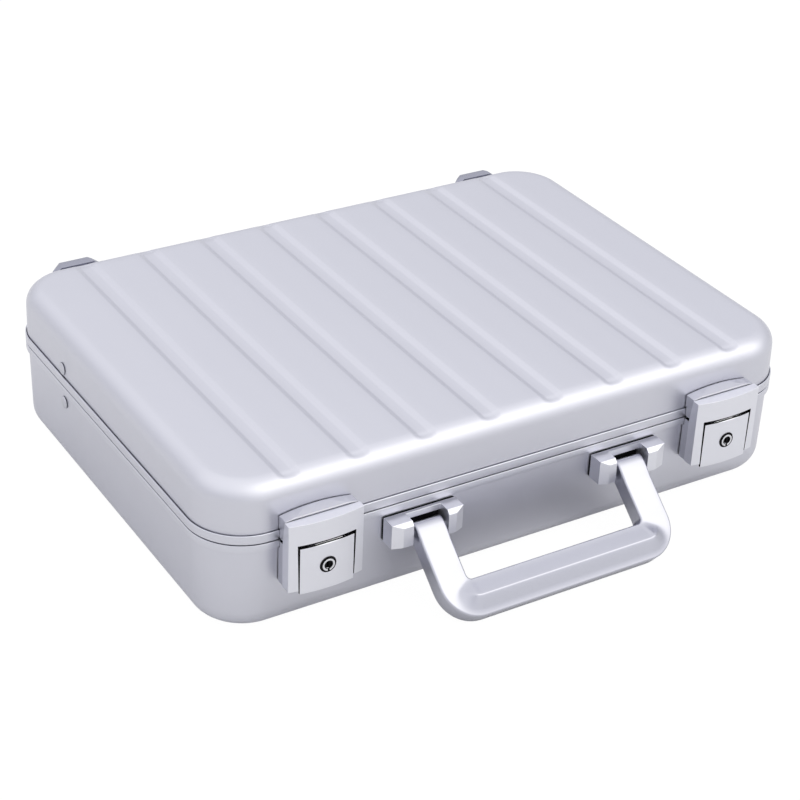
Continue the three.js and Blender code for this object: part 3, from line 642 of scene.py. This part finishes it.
def stitches(inset, pitch=4.2, length=2.7, wide=0.7, high=0.35, clear=3.0):
    """A row of thread stitches on the pocket's face, `inset` mm inside its edge.

    Each stitch is a flat-topped wedge, and each side's row stops `clear` mm from its ends.
    """
    corners = pocket_corners(inset)
    sides = [(i, (i + 1) % 4, 4 + (i + 1) % 4, 4 + i) for i in range(4)]
    block = [(0, 1, 2, 3), (4, 5, 6, 7), *sides]
    sunk = (length / 2, wide / 2, POCKET_FACE + 0.1)
    raised = (length / 2 - 0.4, wide / 2 - 0.15, POCKET_FACE - high)
    verts = []
    faces = []
    for a, b in zip(corners, corners[1:] + corners[:1]):
        a = np.array(a)
        run = np.linalg.norm(b - a)
        along = (b - a) / run
        across = np.array((-along[1], along[0]))
        count = int((run - 2 * clear) / pitch)
        for k in range(count + 1):
            middle = a + along * (clear + (run - 2 * clear) * k / count)
            first = len(verts)
            for half, side, z in (sunk, raised):
                for u, v in ((-1, -1), (1, -1), (1, 1), (-1, 1)):
                    corner = middle + along * half * u + across * side * v
                    verts.append((corner[0], corner[1], z))
            faces += [tuple(first + i for i in quad) for quad in block]
    return verts, faces


make("pocket_piping", bead(pocket_outline(0.6, 5.4, POCKET_FACE + 0.5), 1.3), piping, "lid")
make("pocket_stitches", stitches(5.0), thread, "lid")

# ------------------------------------------------------------------ handle


def ease(t):
    """A smooth step from 0 to 1."""
    t = min(max(t, 0.0), 1.0)
    return t * t * (3 - 2 * t)


def bar_section(inner, outer, top=BAR_TOP, under=BAR_UNDER, ridge=0.0):
    """A section across the handle's bar, between two (x, u) points at its inner and outer side.

    u runs from the pivot toward the grip, and w, between `under` and `top`, is square to both.
    A ridge of the given height runs along the middle of the top, with a crest that is nearly sharp.
    """
    length = math.hypot(outer[0] - inner[0], outer[1] - inner[1])
    low = min(2.2, (top - under) * 0.45)
    high = min(1.5, (top - under) * 0.45)
    crest = 0.05
    points = [(low + low * c, under + low + low * s) for c, s in turns(math.pi, 3 * QUARTER, 4)]
    points += [(length - low + low * c, under + low + low * s) for c, s in turns(-QUARTER, 0, 4)]
    points += [(length - high + high * c, top - high + high * s) for c, s in turns(0, QUARTER, 5)[:-1]]
    rising = (0.0, 0.14, 0.28, 0.38, 0.44, 0.47, 0.485)
    for t in [*(1 - t for t in rising), 0.5, *reversed(rising)]:
        v = abs(2 * t - 1)
        roof = 1 - (math.hypot(v, crest) - crest) / (math.hypot(1, crest) - crest)
        points.append((high + (length - 2 * high) * t, top + ridge * roof))
    points += [(high + high * c, top - high + high * s) for c, s in turns(QUARTER, math.pi, 5)[1:]]
    (x0, u0), (x1, u1) = inner, outer
    return [(x0 + (x1 - x0) * d / length, u0 + (u1 - u0) * d / length, w) for d, w in points]


def handle_blank():
    """The handle as one sweep: knuckle, leg, corner, ridged grip, and back down the other leg."""
    # Each row gives u, and the height of the bar's top and underside there.
    knuckle = [(-6.25, 1.2, -1.2), (-6.0, 3.3, -2.6), (-5.2, 5.8, -3.9), (-3.8, 7.6, -4.9),
               (-1.8, 8.6, -5.5), (1.0, 8.95, -5.8), (5.0, 8.9, -5.7), (9.0, 8.6, -5.5),
               (11.6, 8.25, -5.35), (12.2, BAR_TOP, BAR_UNDER)]
    leg = [(u, BAR_TOP, BAR_UNDER) for u in (18.0, 24.0, 30.0, 35.0)]
    half = [bar_section((LEG_INNER, u), (LEG_OUTER, u), top, under) for u, top, under in knuckle + leg]
    for phi in np.linspace(0, QUARTER, 21):
        in_by = 1 - math.cos(phi)
        short_by = 1 - math.sin(phi)
        inner = (LEG_INNER - INNER_BEND * in_by, GRIP_INNER - INNER_BEND * short_by)
        outer = (LEG_OUTER - OUTER_BEND * in_by, GRIP_OUTER - OUTER_BEND * short_by)
        rise = ease((phi - RIDGE_START) / RIDGE_RUN)
        half.append(bar_section(inner, outer, ridge=RIDGE * rise))
    half += [bar_section((x, GRIP_INNER), (x, GRIP_OUTER), ridge=RIDGE) for x in (60.0, 50.0, 36.0, 18.0)]
    middle = bar_section((0.0, GRIP_INNER), (0.0, GRIP_OUTER), ridge=RIDGE)
    other = [[(-x, u, w) for x, u, w in loop] for loop in reversed(half)]
    c = math.cos(TILT)
    s = math.sin(TILT)
    return closed_strip([[(x, PIVOT_Y - u * c - w * s, PIVOT_Z - u * s + w * c) for x, u, w in loop]
                         for loop in [*half, middle, *other]])


def bored(shape, spans, radius, sides=36):
    """The closed shape with a round hole along X through each span, about the pivot line."""
    verts, faces = shape
    mesh = bpy.data.meshes.new("blank")
    mesh.from_pydata(verts, [], faces)
    bm = bmesh.new()
    bm.from_mesh(mesh)
    bmesh.ops.recalc_face_normals(bm, faces=bm.faces)
    bm.to_mesh(mesh)
    bm.clear()
    for x0, x1 in spans:
        middle = Matrix.Translation(((x0 + x1) / 2, PIVOT_Y, PIVOT_Z)) @ Matrix.Rotation(QUARTER, 4, "Y")
        bmesh.ops.create_cone(bm, cap_ends=True, segments=sides, radius1=radius, radius2=radius,
                              depth=x1 - x0, matrix=middle)
    drill = bpy.data.meshes.new("drill")
    bm.to_mesh(drill)
    bm.free()
    blank = bpy.data.objects.new("blank", mesh)
    tool = bpy.data.objects.new("drill", drill)
    scene.collection.objects.link(blank)
    scene.collection.objects.link(tool)
    bore = blank.modifiers.new("bore", "BOOLEAN")
    bore.operation = "DIFFERENCE"
    bore.solver = "EXACT"
    bore.object = tool
    ready = blank.evaluated_get(bpy.context.evaluated_depsgraph_get()).to_mesh()
    verts = [tuple(v.co) for v in ready.vertices]
    faces = [tuple(p.vertices) for p in ready.polygons]
    for used in (mesh, drill):
        bpy.data.meshes.remove(used)
    return verts, faces


knuckle_ends = (LEG_INNER - 1, LEG_OUTER + 1)
pin_spans = (knuckle_ends, tuple(-x for x in reversed(knuckle_ends)))
casting = bored(handle_blank(), pin_spans, PIN_BORE)
make("handle_casting", casting, handle_metal, "handle", ["handle"], sharp=42)

# ------------------------------------------------------------------ hardware

for side in ("left", "right"):
    dress(f"handle_bracket_{side}", cast_metal, 0.6)
    # dark=True paints the faces inside the latch black, as shade.
    dress(f"latch_housing_{side}", keeper_metal_painted_shade, 0.4, dark=True)
    dress(f"latch_keeper_{side}", keeper_metal_painted_shade, 0.4)
    dress(f"latch_hasp_{side}", cast_metal, 0.4, dark=True)
    dress(f"latch_flap_{side}", cast_metal, 0.25, dark=True)
    for name in ("stay_rivet_base", "stay_rivet_lid"):
        dress(f"{name}_{side}", keeper_metal_painted_shade, 0.3, 2)
    for name in ("hinge_lid", "hinge_base"):
        # The hinges get the darker silver that paints their shade.
        dress(f"{name}_{side}", hinge_metal_painted_shade, 0.5)
    for name, width in (("hinge_pin", 0.2), ("latch_pin", 0.15), ("lock_barrel", 0.2),
                        ("lock_cam", 0.2), ("handle_pin", 0.3), ("stay_arm_base", 0.25),
                        ("stay_arm_lid", 0.25), ("stay_pin", 0.2)):
        dress(f"{name}_{side}", bright_metal, width, 2)
    dress(f"latch_hook_{side}", dark_metal, 0.3, 2, dark=True)
    keep(f"latch_spring_{side}", dark_metal)
    dress(f"key_plug_{side}", plug_metal, 0.12, 2)
    dress(f"lock_seal_{side}", rubber, 0.2, 2)
    keep(f"handle_gasket_{side}", rubber)
keep("document_pocket", pocket_cloth, 0.8)

# ------------------------------------------------------------------ floor


def floor_paint():
    """A matt floor, as the metal mirrors it, that the camera sees burnt out to near white."""
    m, inputs = paint("floor_white")
    inputs["Roughness"].default_value = 0.9
    inputs["Specular IOR Level"].default_value = 0.0
    inputs["Emission Color"].default_value = (1, 1, 1, 1)
    inputs["Emission Strength"].default_value = 0.06
    m.join(m.blend(m.noise(3), [0.67] * 3, [0.69] * 3), inputs["Base Color"])
    burnt = m.add("ShaderNodeEmission", Strength=1.04)
    seen = m.add("ShaderNodeLightPath").outputs["Is Camera Ray"]
    matt = m.tree.nodes["Principled BSDF"]
    both = m.add("ShaderNodeMixShader")
    m.join(m.remap(seen, 0.0, 0.93, 0.0, 1.0), both.inputs[0])
    m.join(matt.outputs[0], both.inputs[1])
    m.join(burnt.outputs[0], both.inputs[2])
    m.join(both.outputs[0], m.tree.nodes["Material Output"].inputs["Surface"])
    return m.owner


mesh = bpy.data.meshes.new("floor")
bm = bmesh.new()
bmesh.ops.create_grid(bm, x_segments=8, y_segments=8, size=6)
bm.to_mesh(mesh)
bm.free()
mesh.materials.append(floor_paint())
floor = bpy.data.objects.new("floor", mesh)
floor.location.z = -0.2 * MM
scene.collection.objects.link(floor)

# ------------------------------------------------------------------ light

world = bpy.data.worlds.new("studio")
scene.world = world
sky = Nodes(world, "Generated")


def glow(toward, start, end, amount):
    """The strength of a soft-edged light round `toward`, between two cosines from its middle."""
    dot = sky.add("ShaderNodeVectorMath", operation="DOT_PRODUCT")
    sky.join(sky.coord, dot.inputs[0])
    dot.inputs[1].default_value = Vector(toward).normalized()
    return sky.remap(dot.outputs["Value"], 0.0, amount, start, end, "SMOOTHSTEP")


OVERHEAD = ((0, 0, 1), 0.08, 0.85, 0.46)
FRONT_HIGH = ((0.458, -0.52, 0.72), 0.82, 0.98, 0.64)
FRONT_LOW = ((0.458, -0.78, 0.42), 0.62, 0.95, 0.38)
DARKER_RIGHT = ((0.9, 0.4, 0.2), 0.5, 1.0, -0.10)
light = 0.90
for lamp in (OVERHEAD, FRONT_HIGH, FRONT_LOW, DARKER_RIGHT):
    light = sky.maths("ADD", light, glow(*lamp))

# The sky is faintly cool where it is plain, and warm where it is bright.
brightness = sky.remap(light, 0.0, 1.0, 1.05, 1.9)
background = sky.tree.nodes["Background"]
sky.join(sky.blend(brightness, (0.975, 0.98, 1.0), (1.0, 0.99, 0.93)), background.inputs["Color"])
sky.join(light, background.inputs["Strength"])

# ------------------------------------------------------------------ camera

# The photograph's viewing angle: the camera's axes and place in metres, and its lens in mm.
camera = bpy.data.objects.new("camera", bpy.data.cameras.new("camera"))
scene.collection.objects.link(camera)
right = Vector((0.85713, -0.51377, 0.03705))
up = Vector((0.23589, 0.45545, 0.85844))
forward = Vector((0.45792, 0.72706, -0.51157))
place = Matrix.Translation((-0.67243, -1.07511, 0.78537))
rotation = Matrix((right, up, -forward)).transposed()
camera.matrix_world = place @ rotation.to_4x4()
camera.data.sensor_width = 36.0
camera.data.lens = 91.4
camera.data.clip_start = 0.05
camera.data.clip_end = 50
scene.camera = camera

scene.view_settings.view_transform = "Standard"
scene.view_settings.look = "None"
